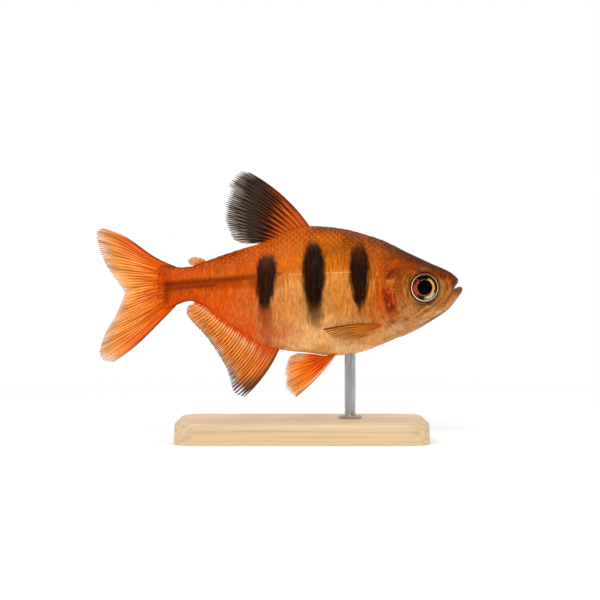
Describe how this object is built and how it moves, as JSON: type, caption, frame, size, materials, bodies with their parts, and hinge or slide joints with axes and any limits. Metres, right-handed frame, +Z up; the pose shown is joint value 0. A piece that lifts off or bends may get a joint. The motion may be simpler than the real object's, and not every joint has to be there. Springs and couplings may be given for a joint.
{
  "type": "three-barred orange tetra model on a display stand",
  "caption": "Life-size still model of a small orange tetra with dark bars on its flank, a forked tail and an adipose fin, held over a flat base by a short rod.",
  "frame": {"origin": "on the underside of the base, at the middle of the whole model's length and width", "axes": "+X towards the snout, +Y towards the fish's left side, +Z up"},
  "size_m": [0.05, 0.019, 0.0368],
  "materials": {
    "skin": "wet fish skin under small thin scales with a satin gloss",
    "head_skin": "smooth moist skin, glossy",
    "gill_plate": "smooth reddish gill cover with a satin metallic gloss",
    "eye": "polished clear eye with a dark pupil and a red and gold iris",
    "dark_fin": "thin translucent membrane, smoky dark, on orange rays",
    "orange_fin": "thin translucent orange membrane on fine rays",
    "clear_fin": "thin clear amber membrane on fine rays",
    "pale_wood": "fine-grained pale wood, satin lacquer",
    "steel": "fine brushed"
  },
  "bodies": {
    "root": {"adipose_fin": "orange_fin", "anal_fin": "orange_fin", "caudal_fin_lower": "orange_fin", "caudal_fin_upper": "orange_fin", "dorsal_fin": "dark_fin", "eye_left": "eye", "eye_right": "eye", "gill_cover_left": "gill_plate", "gill_cover_right": "gill_plate", "head": "head_skin", "lower_jaw": "head_skin", "pectoral_fin_left": "clear_fin", "pectoral_fin_right": "clear_fin", "pelvic_fin_left": "orange_fin", "pelvic_fin_right": "orange_fin", "stand_base": "pale_wood", "stand_rod": "steel", "tail_stalk": "skin", "trunk": "skin"}
  },
  "joints": []
}
